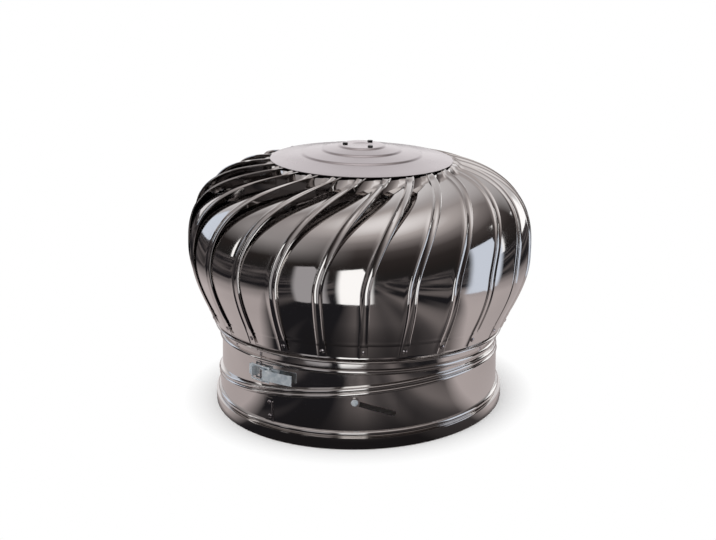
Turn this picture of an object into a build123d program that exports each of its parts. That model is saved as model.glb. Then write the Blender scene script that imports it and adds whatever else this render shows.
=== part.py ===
from build123d import *
import math
import os

# Roof turbine ventilator for a 500 mm round duct, in millimetres.
#
# Three axes order the whole part.
#   base axis    +Z of the part, the axis of the duct.  The bottom rim lies on z = 0.
#   swivel axis  through the middle of the oblique joint between the two collars.
#   head axis    the axis of the upper collar, the shaft and the turbine.
# The collars are cut obliquely, so turning the upper one about the swivel axis
# changes the lean of the head.  Lean and side angles are measured from +Z,
# lean towards +Y and side towards +X.

# ---- sheet and running clearances ----
collar_sheet = 0.8
ring_sheet = 0.8
vane_sheet = 0.6
crown_sheet = 0.8
seat_gap = 0.1            # between pieces that are fastened face to face
tip_gap = 0.5             # vane tips in the slot between crown and clamp ring
swivel_gap = 0.5          # between the two collars, all round
cage_gap = 0.4            # ball cage to either race
race_fit = 0.03           # bearing race on its shaft or in its housing
hole_gap = 0.15           # round a screw, pin or rivet in its hole

# ---- axes ----
swivel_lean = 6.5         # degrees, base axis to swivel axis
swivel_side = -4.1
head_lean = 3.9           # degrees, base axis to head axis
head_side = 1.9
swivel_height = 71.5      # middle of the oblique joint above the bottom rim

# ---- lower collar, along the base axis ----
duct_bore_radius = 250.7  # slips over the 500 mm duct
skirt_height = 19.0
skirt_step = 7.2          # from the skirt's bore in to the wall
bead_stand = 4.0          # a rolled bead out of its wall
bead_half_height = 4.5
bead_crest = 3.0          # flat crest of a rolled bead
bead_over_skirt = 6.0
lower_wall_radius = duct_bore_radius - skirt_step
lower_bead_height = skirt_height + bead_over_skirt
lower_bead_radius = lower_wall_radius + bead_stand

# ---- oblique joint, along the swivel axis ----
joint_ring_stand = 1.5    # the rolled edge out of the lower wall
joint_ring_width = 7.4
joint_ring_height = 7.6
joint_ring_round = 2.0
tongue_gap = 0.6          # round the tongue that hangs inside the lower ring
joint_ring_radius = lower_wall_radius + joint_ring_stand
joint_ring_bore = joint_ring_radius - joint_ring_width
tongue_radius = joint_ring_bore - tongue_gap
tongue_lip_reach = 3.4
tongue_lip_thick = 1.5

# ---- upper collar, along the head axis ----
collar_taper = 5.0        # from the lower wall in to the upper wall
neck_bead_height = 43.5   # bead above the latch
top_bead_height = 62.5    # bead under the turbine
top_bead_stand = 11.5
top_edge_stand = 6.0
upper_wall_radius = lower_wall_radius - collar_taper
neck_bead_radius = upper_wall_radius + bead_stand
top_bead_radius = upper_wall_radius + top_bead_stand
seam_width = 1.2
seam_azimuth = -132.5

# ---- lap strip down the lower collar ----
strip_azimuth = -128.0
strip_turn = 4.0
strip_bottom = lower_bead_height + bead_half_height + 1.0
strip_top = swivel_height
strip_rivet_end = 8.0     # rivet to the end of the strip

# ---- lock screw and its slanted slot in the lower collar ----
lock_azimuth = -91.5
lock_height = 81.0
lock_screw_radius = 3.0
lock_washer_radius = 8.0
lock_washer_thick = 1.2
slot_width = 9.0
slot_turn = 15.0          # degrees round the collar
slot_drop = 23.0

# ---- shaft, bracket and bearings, along the head axis ----
shaft_radius = 8.5
shaft_shoulder_radius = 10.5
shaft_bottom = 34.0
bracket_height = 53.0     # its rivets
bracket_drop = 5.0        # rivets to the top of the arms
bracket_tab = 7.0         # tab above the rivets
bracket_thick = 3.0
bracket_width = 30.0
bracket_hub_radius = 38.0
bracket_azimuths = (-150.0, -30.0, 90.0)
bearing_outer_radius = 20.0
bearing_width = 12.0
race_thick = 3.6
housing_wall = 3.0
shaft_thread_end = 6.0    # thread above the top bearing, for its nut
shaft_washer = 2.0
hub_nut_across = 26.0
hub_nut_height = 10.0
bearing_nut_across = 23.0
bearing_nut_height = 5.0

# ---- turbine, along the head axis ----
vane_count = 24
ring_clearance = 7.0      # from the top bead up to the bottom ring
ring_below_feet = 3.5
foot_length = 22.8
foot_inset = 9.5          # the foot's end in from the crease
ring_bottom_height = top_bead_height + ring_clearance
foot_height = ring_bottom_height + ring_below_feet
crease_height = foot_height + foot_length  # top edge of the bottom ring, where the vanes bend
crease_radius = 263.5     # over the outermost vane edge
foot_radius = crease_radius - foot_inset
equator_height = 199.0
equator_radius = 296.0
shoulder_height = 347.0   # where the vanes straighten into flat tips
shoulder_radius = 164.0
tip_length = 18.0         # flat tip, from the shoulder inwards
crown_inset = 7.0         # the crown's edge in from the shoulder
tip_radius = shoulder_radius - tip_length
crown_radius = shoulder_radius - crown_inset
tip_slope = 11.0          # degrees, tips fall outwards
tip_sweep = 3.5           # degrees of the sweep that lie in the flat tips
upper_round = 2.8         # how square the shoulder is, along the axis
shoulder_round = 3.2      # and across it
vane_turn = 18.0          # degrees, one vane from edge to edge
foot_lap = 2.0            # one vane edge over the next at foot and tip
mouth_opening = 19.0      # widest lift of the free edge over the next vane
crown_sweep = 32.0        # degrees, tips ahead of the feet
sweep_start = 0.3         # share of the vane's length that runs straight up
hem_width = 10.0          # folded rib along the free edge
hem_height = 1.2
first_edge_azimuth = -87.0
rivet_height = (foot_height + crease_height) / 2 - 1.0
rivet_inset = (vane_turn - 360.0 / vane_count) / 2     # degrees in from the free edge
ring_flange = 16.0
ring_hem_height = 2.4
ring_hem_stand = 1.6
spider_thick = 2.0
spider_width = 26.0
spider_hub_radius = 42.0
spider_azimuths = (-120.0, 0.0, 120.0)

# ---- bearings and their housings, along the head axis ----
lower_bearing_lift = 10.2     # over the crease
upper_bearing_lift = 5.0      # over the shoulder
lower_bearing_height = crease_height + lower_bearing_lift
upper_bearing_height = shoulder_height + upper_bearing_lift
housing_flange = 2.5      # thickness of the lower housing's flange
flange_reach = 14.0
housing_mouth = 15.0      # radius of the opening round the shaft
housing_lip = 14.0        # radius inside the lip that holds an outer race
housing_lip_thick = 2.0
housing_step = 1.5        # the lower race above the floor of its cup
upper_flange = 3.0        # thickness of the upper housing's flange

# ---- crown cap ----
crown_rise = 25.0
crown_step_radii = (105.0, 70.0)
crown_step = 3.0
clamp_weld = 10.0         # flat of the clamp ring under the cap
boss_radius = 38.0
boss_screw_circle = 28.5
boss_screw_azimuths = (180.0, 60.0, -60.0)
boss_screw_head = 4.5     # radius
boss_screw_length = 11.0
boss_nut_across = 7.5
boss_nut_height = 4.0

# ---- rivets and screws ----
rivet_radius = 2.0
rivet_head_radius = 4.0
rivet_head_height = 1.4
cap_screw_radius = 2.5

# ---- toggle latch across the seam of the upper collar ----
latch_height = 20.0
latch_wall = upper_wall_radius + seat_gap     # the latch plates lie on the collar
latch_plate = 1.2
latch_half_width = 9.0
latch_pivot_turn = 1.8    # degrees from the seam to the lever pin
latch_pin_radius = 2.0
latch_pin_standoff = 5.0
loop_pin_distance = 12.0  # lever pin to loop pin
loop_wire_radius = 1.5
lever_length = 60.0
cheek_radius = 3.4        # end of the lever's flanges round the pin
keeper_turn = -4.4        # degrees from the seam to the loop's bar
hook_half_width = 8.0
hook_over_bar = 3.5       # top of the hook over the axis of the bar
pivot_azimuth = seam_azimuth + latch_pivot_turn
keeper_azimuth = seam_azimuth + keeper_turn
latch_pin_reach = latch_wall + latch_pin_standoff      # lever pin to the head axis

STEEL = Color(0.75, 0.75, 0.78)
STANDING = (Align.CENTER, Align.CENTER, Align.MIN)
HANGING = (Align.CENTER, Align.CENTER, Align.MAX)


def leaning(lean, side):
    """Unit vector of an axis that leans lean degrees to +Y and side degrees to +X."""
    lean, side = math.radians(lean), math.radians(side)
    return Vector(math.sin(side), math.sin(lean) * math.cos(side), math.cos(lean) * math.cos(side))


swivel_centre = Vector(0, 0, swivel_height)
swivel_axis = leaning(swivel_lean, swivel_side)
head_axis = leaning(head_lean, head_side)
SWIVEL = Plane(swivel_centre, x_dir=Vector(1, 0, 0) - swivel_axis * swivel_axis.X, z_dir=swivel_axis)
HEAD = Plane(swivel_centre, x_dir=Vector(1, 0, 0) - head_axis * head_axis.X, z_dir=head_axis)


def at_head(shape):
    return HEAD.location * shape


def at_swivel(shape):
    return SWIVEL.location * shape


def turned(shape, azimuth):
    return Rot(0, 0, azimuth) * shape


def spun(points, turn=360.0):
    """Solid of revolution about Z of a closed outline given as (radius, height)."""
    outline = Polyline([(r, 0, z) for r, z in points], close=True)
    return revolve(make_face(outline), Axis.Z, turn)


def spun_sector(points, start, end):
    return turned(spun(points, end - start), start)


def polar(radius, azimuth, height):
    a = math.radians(azimuth)
    return Vector(radius * math.cos(a), radius * math.sin(a), height)


def outward(azimuth, radius, height, elevation=0.0):
    """Plane on a wall: its Z points out of the wall, elevation degrees above level."""
    direction = polar(math.cos(math.radians(elevation)), azimuth, math.sin(math.radians(elevation)))
    return Plane(polar(radius, azimuth, height), x_dir=polar(1, azimuth + 90, 0), z_dir=direction)


def save(node, *solids):
    """Write one node; its solids stay separate."""
    pieces = [piece for solid in solids for piece in solid.solids()]
    shape = pieces[0] if len(pieces) == 1 else Compound(children=pieces)
    shape.label = node
    shape.color = STEEL
    export_step(shape, f"parts/{node}.step")


def rivet(grip):
    """Blind rivet along Z: dome on top of z = 0, shank through grip, upset below."""
    dome = Cone(rivet_head_radius, rivet_head_radius * 0.5, rivet_head_height, align=STANDING)
    shank = Cylinder(rivet_radius, grip + 0.6, align=HANGING)
    upset = Pos(0, 0, -grip) * Cylinder(rivet_radius * 1.5, 1.6, align=HANGING)
    return dome + shank + upset


def rivet_hole(depth):
    return Cylinder(rivet_radius + hole_gap, depth * 2)


def hex_nut(across, bore, height):
    body = extrude(RegularPolygon(across / math.sqrt(3), 6), height)
    return body - Cylinder(bore, height * 3)


def bead_outline(radius, wall, height):
    """Outer corners of a rolled bead on a wall, from below to above."""
    return [
        (wall, height - bead_half_height),
        (radius, height - bead_crest / 2),
        (radius, height + bead_crest / 2),
        (wall, height + bead_half_height),
    ]


def band(inner, outer, low, high):
    """Rectangular outline for a ring or a curved plate."""
    return [(inner, low), (outer, low), (outer, high), (inner, high)]


def sheet_wall(outer, thickness):
    """Closed outline of a sheet whose outside runs through the given points."""
    inner = [(r - thickness, z) for r, z in reversed(outer)]
    return outer + inner


# ---------------------------------------------------------------- lower collar

def joint_ring(below):
    """Rolled edge ring of a collar at the oblique joint, about the swivel axis."""
    near = -swivel_gap / 2 if below else swivel_gap / 2
    far = -joint_ring_height if below else joint_ring_height
    outer = joint_ring_radius
    return spun([
        (joint_ring_bore, near),
        (outer - joint_ring_round, near),
        (outer, near + (far - near) * 0.3),
        (outer, near + (far - near) * 0.7),
        (outer - joint_ring_round, far),
        (joint_ring_bore, far),
    ])


def lock_slot():
    """Slanted slot with round ends, swept round the wall by short straight cuts."""
    steps = 6
    cutters = []
    for k in range(steps + 1):
        share = k / steps
        azimuth, height = lock_azimuth + slot_turn * share, lock_height - slot_drop * share
        spot = outward(azimuth, lower_wall_radius, height)
        cutters.append(spot.location * Cylinder(slot_width / 2, 12))
    run = math.radians(slot_turn) * lower_wall_radius
    slope = math.degrees(math.atan2(slot_drop, run))
    length = math.hypot(slot_drop, run)
    middle = outward(lock_azimuth + slot_turn / 2, lower_wall_radius, lock_height - slot_drop / 2)
    cutters.append(middle.location * Rot(0, 0, -slope) * Box(length, slot_width, 14))
    return cutters


def lower_collar():
    skirt_radius = duct_bore_radius + collar_sheet
    outer = [(skirt_radius, 0), (skirt_radius, skirt_height)]
    outer += bead_outline(lower_bead_radius, lower_wall_radius, lower_bead_height)
    outer += [(lower_wall_radius, swivel_height * 2)]
    wall = spun(sheet_wall(outer, collar_sheet))
    span = 4 * duct_bore_radius
    above_joint = Pos(0, 0, -joint_ring_height / 2) * Box(span, span, span, align=STANDING)
    collar = (wall - at_swivel(above_joint)) + at_swivel(joint_ring(below=True))
    for cutter in lock_slot():
        collar -= cutter
    return collar


def lock_screw_parts():
    """Screw through the upper end of the slot, its washers and its nut inside the wall."""
    spot = outward(lock_azimuth, lower_wall_radius, lock_height)
    washer = Cylinder(lock_washer_radius, lock_washer_thick)
    washer -= Cylinder(lock_screw_radius + hole_gap, lock_washer_thick * 2)
    outer_washer = Pos(0, 0, 1.0) * washer
    inner_washer = Pos(0, 0, -collar_sheet - 1.0) * washer
    seat = 1.7
    head = Pos(0, 0, seat) * Cone(lock_screw_radius * 2, 4.0, 3.2, align=STANDING)
    shank = Pos(0, 0, seat) * Cylinder(lock_screw_radius, 16, align=HANGING)
    nut = Pos(0, 0, -collar_sheet - 7.2) * hex_nut(10, lock_screw_radius + hole_gap, 5.4)
    placed = [spot.location * piece for piece in (head + shank, outer_washer, inner_washer, nut)]
    return placed


# ---------------------------------------------------------------- upper collar

def seam_cutter():
    """Thin upright slab through the wall, taller than the collar."""
    slab = Box(upper_wall_radius / 4, seam_width, upper_wall_radius * 2)
    return turned(Pos(upper_wall_radius, 0, 0) * slab, seam_azimuth)


def upper_collar():
    outer = [(upper_wall_radius, -swivel_height)]
    outer += bead_outline(neck_bead_radius, upper_wall_radius, neck_bead_height)
    outer += bead_outline(top_bead_radius, upper_wall_radius, top_bead_height)[:3]
    outer += [(upper_wall_radius + top_edge_stand, top_bead_height + bead_crest)]
    wall = at_head(spun(sheet_wall(outer, collar_sheet)))
    span = 4 * duct_bore_radius
    below_joint = Pos(0, 0, joint_ring_height / 2) * Box(span, span, span, align=HANGING)
    lip_top = -joint_ring_height - swivel_gap
    lip_radius = tongue_radius + tongue_lip_reach
    bore = tongue_radius - collar_sheet
    tongue = spun([
        (bore, joint_ring_height),
        (bore, lip_top - tongue_lip_thick),
        (lip_radius, lip_top - tongue_lip_thick),
        (lip_radius, lip_top),
        (tongue_radius, lip_top),
        (tongue_radius, 1.0),
        (joint_ring_bore + 1, 1.0),
        (joint_ring_bore + 1, joint_ring_height),
    ])
    collar = (wall - at_swivel(below_joint)) + at_swivel(joint_ring(below=False) + tongue)
    collar -= at_head(seam_cutter())
    for azimuth in bracket_azimuths:
        spot = outward(azimuth, upper_wall_radius, bracket_height)
        collar -= at_head(spot.location * rivet_hole(8))
    return collar


def bracket_top():
    return bracket_height - bracket_drop


def bracket_tab_radius():
    return upper_wall_radius - collar_sheet - seat_gap


def support_bracket():
    """Three arms in one plane, a hub for the shaft and a tab bent up at each end."""
    top = bracket_top()
    hub = Pos(0, 0, top) * Cylinder(bracket_hub_radius, bracket_thick, align=HANGING)
    reach = bracket_tab_radius() - 1.0
    tab_in = bracket_tab_radius() - bracket_thick
    half_turn = math.degrees(bracket_width / 2 / bracket_tab_radius())
    bracket = hub
    along_x = (Align.MIN, Align.CENTER, Align.MAX)
    for azimuth in bracket_azimuths:
        arm = Pos(0, 0, top) * Box(reach, bracket_width, bracket_thick, align=along_x)
        outline = band(tab_in, bracket_tab_radius(), top - bracket_thick, bracket_height + bracket_tab)
        tab = spun_sector(outline, -half_turn, half_turn)
        hole = outward(0, bracket_tab_radius(), bracket_height).location * rivet_hole(8)
        bracket += turned(arm + tab - hole, azimuth)
    return bracket - Pos(0, 0, top) * Cylinder(shaft_radius + hole_gap, 20)


def bracket_rivets():
    grip = collar_sheet + seat_gap * 2 + bracket_thick
    body = Pos(0, 0, seat_gap) * rivet(grip + seat_gap)
    return [outward(a, upper_wall_radius, bracket_height).location * body for a in bracket_azimuths]


# ---------------------------------------------------------------- shaft and bearings

def shaft():
    lower_seat = lower_bearing_height + bearing_width
    top = upper_bearing_height + bearing_width + shaft_thread_end
    return spun([
        (0, shaft_bottom), (shaft_radius, shaft_bottom),
        (shaft_radius, lower_seat), (shaft_shoulder_radius, lower_seat),
        (shaft_shoulder_radius, upper_bearing_height), (shaft_radius, upper_bearing_height),
        (shaft_radius, top), (0, top),
    ])


def shaft_nuts():
    bore = shaft_radius + hole_gap
    hub_nut = hex_nut(hub_nut_across, bore, hub_nut_height)
    bearing_nut = hex_nut(bearing_nut_across, bore, bearing_nut_height)
    washer = shaft_washer + seat_gap * 2
    return [
        Pos(0, 0, bracket_top() + washer) * hub_nut,
        Pos(0, 0, bracket_top() - bracket_thick - washer - hub_nut_height) * hub_nut,
        Pos(0, 0, lower_bearing_height - seat_gap - bearing_nut_height) * bearing_nut,
        Pos(0, 0, upper_bearing_height + bearing_width + seat_gap) * bearing_nut,
    ]


def shaft_washers():
    washer = Cylinder(shaft_radius * 2, shaft_washer, align=STANDING)
    washer -= Cylinder(shaft_radius + hole_gap, shaft_washer * 4)
    above = bracket_top() + seat_gap
    below = bracket_top() - bracket_thick - seat_gap - shaft_washer
    return [Pos(0, 0, z) * washer for z in (above, below)]


def ring(inner, outer, bottom, height):
    return spun(band(inner, outer, bottom, bottom + height))


def inner_race(bottom):
    bore = shaft_radius + race_fit
    return ring(bore, bore + race_thick, bottom + seat_gap, bearing_width - seat_gap * 2)


def outer_race(bottom):
    inside = bearing_outer_radius - race_thick
    return ring(inside, bearing_outer_radius, bottom + seat_gap, bearing_width - seat_gap * 2)


def ball_cage(bottom):
    inside = shaft_radius + race_fit + race_thick + cage_gap
    outside = bearing_outer_radius - race_thick - cage_gap
    return ring(inside, outside, bottom + 2.0, bearing_width - 4.0)


# ---------------------------------------------------------------- turbine

def vane_outline():
    """Points (radius, height) of the free edge from the crease over the equator to the shoulder."""
    rise = equator_height - crease_height
    swell = equator_radius - crease_radius
    points = []
    for share in (0.0, 0.5):
        points.append((crease_radius + swell * math.sin(math.pi / 2 * share), crease_height + rise * share))
    top = (1 - (shoulder_radius / equator_radius) ** shoulder_round) ** (1 / upper_round)
    half_height = (shoulder_height - equator_height) / top
    last = math.asin(top ** (upper_round / 2))
    for share in (0.0, 0.3, 0.5, 0.7, 0.85, 1.0):
        a = last * share
        radius = equator_radius * math.cos(a) ** (2 / shoulder_round)
        points.append((radius, equator_height + half_height * math.sin(a) ** (2 / upper_round)))
    return points


def vane_section(radius, height, lean, lift, sweep):
    """Cross-section of the sheet: tucked edge, curved panel, raised hem on the free edge."""
    rise, reach = math.sin(lean), math.cos(lean)
    normal = polar(reach, sweep - vane_turn / 2, rise)
    free = polar(radius, sweep, height)
    tucked = polar(radius - lift * reach, sweep - vane_turn, height - lift * rise)
    chord = (tucked - free).length
    bulge = max(radius * (1 - math.cos(math.radians(vane_turn / 2))) * reach, 0.3)

    def on_panel(along):
        share = along / chord
        return free + (tucked - free) * share + normal * bulge * 4 * share * (1 - share)

    hem = on_panel(hem_width)
    middle = on_panel((hem_width + chord) / 2)
    raised = normal * hem_height
    under = normal * -vane_sheet
    edges = [
        ThreePointArc(tucked, middle, hem),
        Line(hem, hem + raised),
        Line(hem + raised, free + raised),
        Line(free + raised, free + under),
        Line(free + under, hem + under),
        ThreePointArc(hem + under, middle + under, tucked + under),
        Line(tucked + under, tucked),
    ]
    return Wire([edge.edge() for edge in edges])


def vane():
    """One vane, its free edge at azimuth 0 at the foot: riveted foot, blade and flat tip."""
    points = vane_outline()
    lengths = [0.0]
    for a, b in zip(points, points[1:]):
        lengths.append(lengths[-1] + math.dist(a, b))
    blade_sweep = crown_sweep - tip_sweep
    foot_lean = math.atan2(foot_radius - crease_radius, crease_height - foot_height)
    tip_lean = math.radians(90 - tip_slope)
    crease = vane_section(crease_radius, crease_height, foot_lean, foot_lap, 0.0)
    shoulder = vane_section(shoulder_radius, shoulder_height, tip_lean, foot_lap, blade_sweep)
    sections = [crease]
    for k, (radius, height) in list(enumerate(points))[1:-1]:
        share = lengths[k] / lengths[-1]
        before, after = points[k - 1], points[k + 1]
        lean = math.atan2(before[0] - after[0], after[1] - before[1])
        lift = foot_lap + (mouth_opening - foot_lap) * math.sin(math.pi * share ** 2.4)
        sweep = blade_sweep * max(0.0, (share - sweep_start) / (1 - sweep_start)) ** 1.6
        sections.append(vane_section(radius, height, lean, lift, sweep))
    blade = Solid.make_loft(sections + [shoulder])
    foot_end = vane_section(foot_radius, foot_height, foot_lean, foot_lap, 0.0)
    tip_end = vane_section(tip_radius, tip_line(tip_radius), tip_lean, foot_lap, crown_sweep)
    foot = Solid.make_loft([foot_end, crease], ruled=True)
    tip = Solid.make_loft([shoulder, tip_end], ruled=True)
    return blade + foot + tip


def tip_line(radius):
    """Height of the free edge along the flat tip."""
    return shoulder_height + (shoulder_radius - radius) * math.tan(math.radians(tip_slope))


def foot_line(height):
    """Radius of the free edge between the foot and the crease."""
    share = (height - foot_height) / (crease_height - foot_height)
    return foot_radius + (crease_radius - foot_radius) * share


def foot_stack():
    """Depth, measured level, from the free edge to the outside of the ring behind the feet."""
    slope = math.atan2(crease_radius - foot_radius, crease_height - foot_height)
    return (foot_lap + vane_sheet + seat_gap) / math.cos(slope)


def foot_rivet_plane(azimuth):
    slope = math.degrees(math.atan2(foot_radius - crease_radius, crease_height - foot_height))
    return outward(azimuth, foot_line(rivet_height), rivet_height, slope)


def vanes():
    """All vanes, each with a rivet hole in its hem and a notch for its neighbour's rivet."""
    notch_length = 2 * (math.radians(rivet_inset + 0.4) * foot_radius + rivet_radius + 0.5)
    notch_width = 2 * (rivet_radius + hole_gap)
    tucked_edge = foot_rivet_plane(-vane_turn - 0.4)
    body = vane()
    body -= foot_rivet_plane(-rivet_inset).location * rivet_hole(4)
    body -= tucked_edge.location * Box(notch_length, notch_width, 16)
    pitch = 360.0 / vane_count
    return [turned(body, first_edge_azimuth + pitch * k) for k in range(vane_count)]


def bottom_ring():
    """Cone behind the vane feet with an inward flange for the spider and a hem below."""
    depth = foot_stack()
    top = foot_line(crease_height) - depth
    bottom = foot_line(ring_bottom_height) - depth
    hem_top = ring_bottom_height + ring_hem_height
    cone = spun([
        (bottom - ring_sheet, ring_bottom_height), (bottom + ring_hem_stand, ring_bottom_height),
        (bottom + ring_hem_stand, hem_top), (foot_line(hem_top) - depth, hem_top),
        (top, crease_height), (top - ring_flange, crease_height),
        (top - ring_flange, crease_height - ring_sheet), (top - ring_sheet, crease_height - ring_sheet),
    ])
    for k in range(vane_count):
        azimuth = first_edge_azimuth - rivet_inset + 360.0 / vane_count * k
        cone -= foot_rivet_plane(azimuth).location * rivet_hole(8)
    for azimuth in spider_azimuths:
        cone -= Pos(polar(spider_rivet_radius(), azimuth, crease_height)) * rivet_hole(6)
    return cone


def spider_rivet_radius():
    return foot_line(crease_height) - foot_stack() - ring_flange / 2 - 1


def ring_rivets():
    grip = hem_height + foot_lap + vane_sheet + seat_gap * 2 + ring_sheet
    body = Pos(0, 0, hem_height + seat_gap) * rivet(grip + seat_gap)
    pitch = 360.0 / vane_count
    return [
        foot_rivet_plane(first_edge_azimuth - rivet_inset + pitch * k).location * body
        for k in range(vane_count)
    ]


def spider():
    """Three flat arms from the ring's flange to the hub plate that carries the lower housing."""
    floor = crease_height + seat_gap
    plate = Pos(0, 0, floor) * Cylinder(spider_hub_radius, spider_thick, align=STANDING)
    reach = spider_rivet_radius() + 6
    along_x = (Align.MIN, Align.CENTER, Align.MIN)
    for azimuth in spider_azimuths:
        arm = Pos(0, 0, floor) * Box(reach, spider_width, spider_thick, align=along_x)
        hole = Pos(spider_rivet_radius(), 0, floor) * rivet_hole(6)
        plate += turned(arm - hole, azimuth)
        plate -= Pos(polar(housing_rivet_radius(), azimuth + 60, floor)) * rivet_hole(6)
    return plate - Pos(0, 0, floor) * Cylinder(housing_mouth, 20)


def housing_rivet_radius():
    return bearing_outer_radius + housing_wall + 8


def spider_rivets():
    floor = crease_height + seat_gap + spider_thick
    at_ring = Pos(0, 0, seat_gap) * rivet(spider_thick + ring_sheet + seat_gap * 4)
    at_hub = Pos(0, 0, housing_flange + seat_gap * 2)
    at_hub *= rivet(housing_flange + spider_thick + seat_gap * 4)
    outer = [Pos(polar(spider_rivet_radius(), a, floor)) * at_ring for a in spider_azimuths]
    inner = [Pos(polar(housing_rivet_radius(), a + 60, floor)) * at_hub for a in spider_azimuths]
    return outer + inner


def lower_housing():
    """Flanged cup on the spider's hub, open below round the shaft nut."""
    floor = crease_height + seat_gap * 2 + spider_thick
    bore = bearing_outer_radius + race_fit
    outside = bore + housing_wall
    top = lower_bearing_height + bearing_width
    seat = lower_bearing_height - housing_step
    flange = outside + flange_reach
    cup = spun([
        (housing_mouth, floor), (flange, floor),
        (flange, floor + housing_flange), (outside, floor + housing_flange),
        (outside, top + housing_lip_thick), (housing_lip, top + housing_lip_thick),
        (housing_lip, top), (bore, top), (bore, seat), (housing_mouth, seat),
    ])
    for azimuth in spider_azimuths:
        cup -= Pos(polar(housing_rivet_radius(), azimuth + 60, floor)) * rivet_hole(6)
    return cup


def crown_under(radius):
    """Height of the crown's underside at the rim, clear of the hems of the vane tips."""
    return tip_line(radius) + (hem_height + tip_gap) / math.cos(math.radians(tip_slope))


def clamp_over(radius):
    """Height of the clamp ring's top, clear of the tucked edges of the vane tips."""
    return tip_line(radius) - (foot_lap + vane_sheet + tip_gap) / math.cos(math.radians(tip_slope))


def crown_cap():
    """Pressed disc: sloping rim, two steps and a raised boss over the upper bearing."""
    rim_in = tip_radius - 4
    rim = crown_under(crown_radius)
    shelf = crown_under(rim_in)
    first, second = crown_step_radii
    boss = rim + crown_rise
    first_low = shelf + crown_shelf_slope() * (rim_in - first)
    second_low = first_low + crown_step + (boss - shelf) * 0.18
    under = [
        (crown_radius, rim), (rim_in, shelf), (first, first_low), (first - 3, first_low + crown_step),
        (second, second_low), (second - 3, second_low + crown_step),
        (boss_radius + 4, boss - crown_step), (boss_radius, boss), (0, boss),
    ]
    over = [(r, z + crown_sheet) for r, z in reversed(under)]
    cap = spun(under + over)
    for azimuth in boss_screw_azimuths:
        cap -= Pos(polar(boss_screw_circle, azimuth, boss)) * Cylinder(cap_screw_radius + hole_gap, 10)
    return cap


def clamp_ring():
    """Dished ring under the vane tips, welded to the cap inside them."""
    inside = tip_radius - 4
    roof = crown_under(inside) - seat_gap
    over = [
        (crown_radius, clamp_over(crown_radius)), (tip_radius - 2, clamp_over(tip_radius - 2)),
        (inside, roof), (inside - clamp_weld, roof + clamp_weld * crown_shelf_slope()),
    ]
    under = [(r, z - ring_sheet) for r, z in reversed(over)]
    return spun(over + under)


def crown_shelf_slope():
    """Rise of the crown between the rim and its first step."""
    return 0.15


def boss_underside():
    return crown_under(crown_radius) + crown_rise


def upper_housing():
    """Flanged cup screwed under the crown's boss."""
    roof = boss_underside() - seat_gap
    bore = bearing_outer_radius + race_fit
    outside = bore + housing_wall
    top = upper_bearing_height + bearing_width
    low = upper_bearing_height - housing_lip_thick
    edge = boss_radius - 4
    step = outside - 2 * housing_wall
    cup = spun([
        (housing_lip, low), (outside, low), (outside, roof - upper_flange),
        (edge, roof - upper_flange), (edge, roof), (step, roof), (step, top),
        (bore, top), (bore, upper_bearing_height), (housing_lip, upper_bearing_height),
    ])
    for azimuth in boss_screw_azimuths:
        cup -= Pos(polar(boss_screw_circle, azimuth, roof)) * Cylinder(cap_screw_radius + hole_gap, 12)
    return cup


def housing_screws():
    top = boss_underside() + crown_sheet + seat_gap
    screw = Cylinder(boss_screw_head, 2.2, align=STANDING)
    screw += Cylinder(cap_screw_radius, boss_screw_length, align=HANGING)
    stack = crown_sheet + seat_gap * 3 + upper_flange
    nut = hex_nut(boss_nut_across, cap_screw_radius + hole_gap, boss_nut_height)
    nut = Pos(0, 0, -stack - boss_nut_height) * nut
    placed = []
    for azimuth in boss_screw_azimuths:
        placed += [Pos(polar(boss_screw_circle, azimuth, top)) * piece for piece in (screw, nut)]
    return placed


# ---------------------------------------------------------------- toggle latch

def degrees_along(length):
    return math.degrees(length / latch_pin_reach)


def latch_plate_piece(start, end, half_height):
    low, high = latch_height - half_height, latch_height + half_height
    return spun_sector(band(latch_wall, latch_wall + latch_plate, low, high), start, end)


def latch_frame():
    """Axes at the lever pin: X along the wall to the lever, Y out of the wall, Z up the pin."""
    origin = polar(latch_pin_reach, pivot_azimuth, latch_height)
    return Plane(origin, x_dir=polar(1, pivot_azimuth + 90, 0), z_dir=Vector(0, 0, -1))


def loop_pin_spot():
    """Centre of the loop's pin in the latch frame."""
    turn = loop_pin_distance / latch_pin_reach
    return latch_pin_reach * math.sin(turn), latch_pin_reach * (math.cos(turn) - 1)


def latch_rivet_spots():
    return [(pivot_azimuth + degrees_along(16), 0.0), (pivot_azimuth + degrees_along(24), 0.0),
            (keeper_azimuth - degrees_along(7), 6.0), (keeper_azimuth - degrees_along(7), -6.0)]


def latch_base():
    """Curved plate right of the seam with two ears for the lever pin."""
    start = pivot_azimuth - degrees_along(6.4)
    end = pivot_azimuth + degrees_along(31)
    plate = latch_plate_piece(start, end, latch_half_width + 1.8)
    ear = Circle(5.0) + Pos(0, -2.2) * Rectangle(10, 4.4)
    ear -= Circle(latch_pin_radius + hole_gap / 2)
    for side in (1, -1):
        flat = extrude(Pos(0, 0, side * (latch_half_width + 0.9)) * ear, 0.6, both=True)
        plate += latch_frame().location * flat
    for azimuth, height in latch_rivet_spots()[:2]:
        plate -= outward(azimuth, latch_wall, latch_height + height).location * rivet_hole(6)
    return plate


def latch_keeper():
    """Curved plate left of the seam with an upright for the loop's bar."""
    start = keeper_azimuth - degrees_along(13)
    hook_start = keeper_azimuth + degrees_along(loop_wire_radius + 0.3)
    hook_end = hook_start + degrees_along(1.6)
    plate = latch_plate_piece(start, hook_end, latch_half_width)
    low, high = latch_height - hook_half_width, latch_height + hook_half_width
    top = latch_pin_reach + hook_over_bar
    plate += spun_sector(band(latch_wall, top, low, high), hook_start, hook_end)
    for azimuth, height in latch_rivet_spots()[2:]:
        plate -= outward(azimuth, latch_wall, latch_height + height).location * rivet_hole(6)
    return plate


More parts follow.
